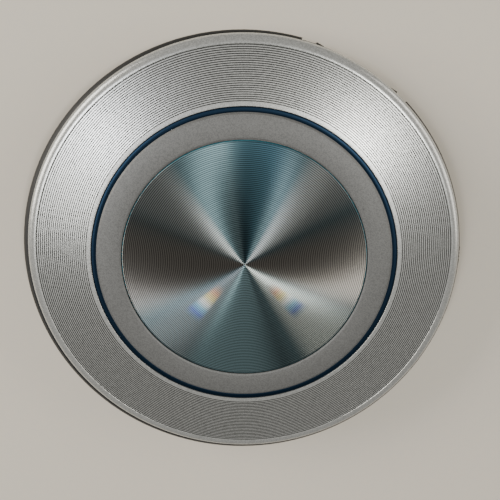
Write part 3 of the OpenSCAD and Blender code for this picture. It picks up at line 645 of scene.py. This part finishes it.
@dataclass
class Lid:
    """The lid's visible skin: grooved shell, accent ring, satin ring and turned disc.

    Args:
        wardrobe: gives the materials.
        drop: height of the rounded edge below the seam.
        edge: height of the upright part of the edge.
        band: width of the rounded edge from the rim to the seam.
        land_groove: one groove of the shell: steps inwards and depths, with a land after it.
        disc_groove: one ring of the centre disc, in the same form.
        segments: steps around the lid.
        sharp: angle in degrees past which an edge stays sharp.
    """

    wardrobe: Wardrobe
    drop: float = 2.5 * MM
    edge: float = 0.75 * MM
    band: float = EDGE_BAND
    land_groove: tuple[Point, ...] = ((0.0, 0.0), (0.09 * MM, 0.2 * MM), (0.18 * MM, 0.2 * MM),
                                      (0.25 * MM, 0.022 * MM), (GROOVE_PITCH, 0.0))
    disc_groove: tuple[Point, ...] = ((0.0, 0.0), (DISC_PITCH / 2, 0.004 * MM), (DISC_PITCH, 0.0))
    segments: int = 384
    sharp: float = 15.0

    def __post_init__(self) -> None:
        """Reads the lid's place and radii from the frame."""
        low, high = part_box("lid_shell")
        self.radius = half_width("lid_shell")
        self.centre = Vector(((high.x + low.x) / 2, (high.y + low.y) / 2, 0))
        self.low, self.top = low.z, high.z
        self.accent = half_width("accent_ring")
        self.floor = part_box("accent_ring")[0].z
        self.liner_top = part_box("lid_frame")[1].z

    def grooves(self, outer: float, inner: float, z_outer: float, z_inner: float,
                profile: Sequence[Point]) -> list[Point]:
        """Outline of turned grooves from an outer to an inner radius.

        Args:
            outer: radius where the first groove starts.
            inner: radius where the grooves must have ended.
            z_outer: height of the crests at the outer radius.
            z_inner: height of the crests at the inner radius.
            profile: one groove as steps inwards and depths, the last step being its pitch.

        Returns:
            Points from the outer to the inner radius.
        """
        pitch = profile[-1][0]
        count = int((outer - inner) / pitch)
        points: list[Point] = []
        for i in range(count):
            for step, depth in profile[:-1]:
                crest = z_outer + (z_inner - z_outer) * (i + step / pitch) / count
                points.append((outer - i * pitch - step, crest - depth))
        return points

    def shell(self) -> bpy.types.Object:
        """Builds the shell: rounded edge, seam, grooved ring and the recess for the rings."""
        seam = self.radius - self.band
        seam_z = self.low + self.drop
        rim_in = self.radius - 1.8 * MM
        hair = 0.12 * MM
        outline = [(rim_in, self.low), (self.radius - hair, self.low)]
        outline += [(self.radius, self.low + hair)]
        outline += arc(seam + hair, self.low + self.edge, self.radius - seam - hair,
                       self.drop - self.edge, 0, 84, 20)
        outline += [(seam + SEAM_WIDTH, seam_z), (seam, seam_z - 0.12 * MM)]
        outline += self.grooves(seam - SEAM_WIDTH, self.accent + GROOVE_MARGIN, seam_z,
                                self.top - 0.02 * MM, self.land_groove)
        outline += [(self.accent + 0.3 * MM, self.top), (self.accent + 0.12 * MM, self.top),
                    (self.accent + 0.05 * MM, self.top - 0.06 * MM),
                    (self.accent + 0.05 * MM, self.floor), (0, self.floor),
                    (0, self.liner_top), (rim_in, self.liner_top)]
        return lathe("lid_shell_skin", outline, self.centre, self.segments)

    def accent_ring(self) -> bpy.types.Object:
        """Builds the recessed blue ring with a hollowed top."""
        low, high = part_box("accent_ring")
        width = 1.5 * MM
        inner = self.accent - width
        top = high.z
        outline = [(inner, low.z), (self.accent, low.z), (self.accent, top - 0.2 * MM)]
        outline += arc(self.accent - width / 2, top - 0.2 * MM, width / 2, 0.14 * MM, 8, 172, 12)
        outline += [(inner, top - 0.2 * MM)]
        return lathe("accent_ring_skin", outline, self.centre, self.segments)

    def trim_ring(self) -> bpy.types.Object:
        """Builds the plain satin ring with its bright outer chamfer."""
        low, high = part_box("trim_ring")
        outer = half_width("trim_ring")
        inner = half_width("centre_disc") + 0.1 * MM
        top = high.z
        outline = [(inner, low.z), (outer, low.z), (outer, top - 0.34 * MM),
                   (outer - 0.08 * MM, top - 0.28 * MM), (outer - 0.52 * MM, top - 0.03 * MM),
                   (outer - 0.64 * MM, top), (inner + 0.55 * MM, top),
                   (inner + 0.42 * MM, top - 0.03 * MM), (inner + 0.04 * MM, top - 0.2 * MM),
                   (inner, top - 0.26 * MM)]
        return lathe("trim_ring_skin", outline, self.centre, self.segments)

    def centre_disc(self) -> bpy.types.Object:
        """Builds the turned disc with fine rings and a bevelled edge."""
        low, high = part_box("centre_disc")
        radius = half_width("centre_disc")
        top = high.z
        outline = [(0, low.z), (radius, low.z), (radius, top - 0.22 * MM),
                   (radius - 0.06 * MM, top - 0.15 * MM), (radius - 0.42 * MM, top)]
        outline += self.grooves(radius - 0.6 * MM, 0.3 * MM, top, top, self.disc_groove)
        outline.append((0, top - 0.04 * MM))
        return lathe("centre_disc_skin", outline, self.centre, self.segments)

    def build(self) -> None:
        """Builds, dresses and places the four skins."""
        skins: dict[str, tuple[Callable[[], bpy.types.Object], str]] = {
            "lid_shell": (self.shell, "silver_paint"),
            "accent_ring": (self.accent_ring, "accent_blue"),
            "trim_ring": (self.trim_ring, "trim_silver"),
            "centre_disc": (self.centre_disc, "turned_blue"),
        }
        for node, (make, slot) in skins.items():
            skin = make()
            smooth(skin, self.sharp)
            self.wardrobe.dress(skin, slot)
            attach(skin, "lid")
            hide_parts(node)
            LOG.info("built %s for %s", skin.name, node)


@dataclass
class Frame:
    """Dresses the CAD nodes that keep their own meshes.

    Args:
        wardrobe: gives the materials.
        replaced: nodes that another piece stands for.
    """

    wardrobe: Wardrobe
    replaced: tuple[str, ...] = ("lid_shell", "accent_ring", "trim_ring", "centre_disc")

    def build(self) -> None:
        """Puts each kept node's finish on it."""
        slots = {s["node"]: s["material_slot"] for s in frame["record"]["subparts"]}
        for name, obj in frame["nodes"].items():
            if name in self.replaced:
                continue
            self.wardrobe.dress(obj, slots[name])
            LOG.info("dressed %s as %s", name, slots[name])


@dataclass(frozen=True)
class Softbox:
    """A rectangular light that faces the lid.

    Args:
        name: the light's name.
        azimuth: bearing as the camera sees it, in degrees.
        elevation: height above the table, in degrees.
        distance: distance from the lid, in metres.
        size: width and height of the light, in metres.
        power: power in watts.
        colour: sRGB hex of the light.
    """

    name: str
    azimuth: float
    elevation: float
    distance: float
    size: Point
    power: float
    colour: str

    def hang(self, place: Vector) -> None:
        """Adds the light at a place, turned towards the lid."""
        data = bpy.data.lights.new(self.name, "AREA")
        data.shape = "RECTANGLE"
        data.size, data.size_y = self.size
        data.energy = self.power
        data.color = linear(self.colour)[:3]
        light = bpy.data.objects.new(self.name, data)
        bpy.context.scene.collection.objects.link(light)
        light.location = place
        light.rotation_euler = (-place).to_track_quat("-Z", "Y").to_euler()


# Small high lamps draw the fans on the turned metal, wide low ones light the bevel
SOFTBOXES = (
    Softbox("lamp_right", 9, 70, 0.9, (0.1, 0.1), 2.3, "fffdf8"),
    Softbox("lamp_left", 170, 66, 0.9, (0.1, 0.1), 1.7, "fbfbff"),
    Softbox("lamp_far_left", 190, 62, 0.9, (0.16, 0.16), 0.8, "fffdf8"),
    Softbox("window_left", 158, 24, 1.0, (0.8, 0.4), 8.0, "fff8ee"),
    Softbox("wall_right", 16, 24, 1.0, (0.9, 0.4), 3.8, "fff8ee"),
)


@dataclass
class Studio:
    """Floor, soft lights and camera.

    Args:
        turn: how far the player is turned under the camera, in degrees.
        tilt: how far the camera leans off the lid's normal, in degrees.
        roll: the camera's small sideways lean, in degrees.
        lens: focal length on a 36 mm sensor.
        offset: camera's place from the lid's centre, before the turn, in metres.
        edge_z: height of the lid's edge.
        sensor: width of the sensor in millimetres.
        near: distance in metres before which the camera sees nothing.
        floor_half: half the width of the floor in metres.
        glow: sRGB hex of the room's light from all round.
        glow_strength: strength of that light.
    """

    turn: float = 29.0
    tilt: float = 17.04
    roll: float = 0.84
    lens: float = 37.34
    offset: Vector = field(default_factory=lambda: Vector((-0.70, 49.2, 147.8)) * MM)
    edge_z: float = 15.6 * MM
    sensor: float = 36.0
    near: float = 0.005
    floor_half: float = 1.5
    glow: str = "cbc8c2"
    glow_strength: float = 0.34

    def place(self, azimuth: float, elevation: float, distance: float) -> Vector:
        """Gives a point around the lid, with azimuth as the camera sees it."""
        a, e = math.radians(azimuth + self.turn), math.radians(elevation)
        return Vector((math.cos(a) * math.cos(e), math.sin(a) * math.cos(e), math.sin(e))) * distance

    def camera(self) -> None:
        """Adds the camera."""
        data = bpy.data.cameras.new("camera")
        data.lens = self.lens
        data.sensor_width = self.sensor
        data.clip_start = self.near
        camera = bpy.data.objects.new("camera", data)
        bpy.context.scene.collection.objects.link(camera)
        spin = Matrix.Rotation(math.radians(self.turn), 3, "Z")
        pose = spin @ Matrix.Rotation(math.radians(-self.tilt), 3, "X")
        pose = pose @ Matrix.Rotation(math.radians(-self.roll), 3, "Y")
        low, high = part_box("lid_shell")
        centre = Vector(((low.x + high.x) / 2, (low.y + high.y) / 2, self.edge_z))
        camera.matrix_world = Matrix.Translation(centre + spin @ self.offset) @ pose.to_4x4()
        bpy.context.scene.camera = camera

    def floor(self) -> None:
        """Adds the pale floor."""
        half = self.floor_half
        verts = [(-half, -half, 0), (half, -half, 0), (half, half, 0), (-half, half, 0)]
        floor = mesh_object("floor", verts, [(0, 1, 2, 3)])
        floor.data.materials.append(PALE_PAPER.material())

    def build(self) -> None:
        """Adds camera, floor, lights and the room's glow."""
        self.camera()
        self.floor()
        for softbox in SOFTBOXES:
            softbox.hang(self.place(softbox.azimuth, softbox.elevation, softbox.distance))
        world = bpy.data.worlds.new("room")
        world.use_nodes = True
        glow = world.node_tree.nodes["Background"]
        glow.inputs["Color"].default_value = linear(self.glow)
        glow.inputs["Strength"].default_value = self.glow_strength
        bpy.context.scene.world = world


def main() -> None:
    """Builds the studio and the player's pieces in order."""
    logging.basicConfig(level=logging.INFO, format="%(message)s")
    wardrobe = Wardrobe()
    Studio().build()
    Frame(wardrobe).build()
    Lid(wardrobe).build()


if __name__ == "__main__":
    main()
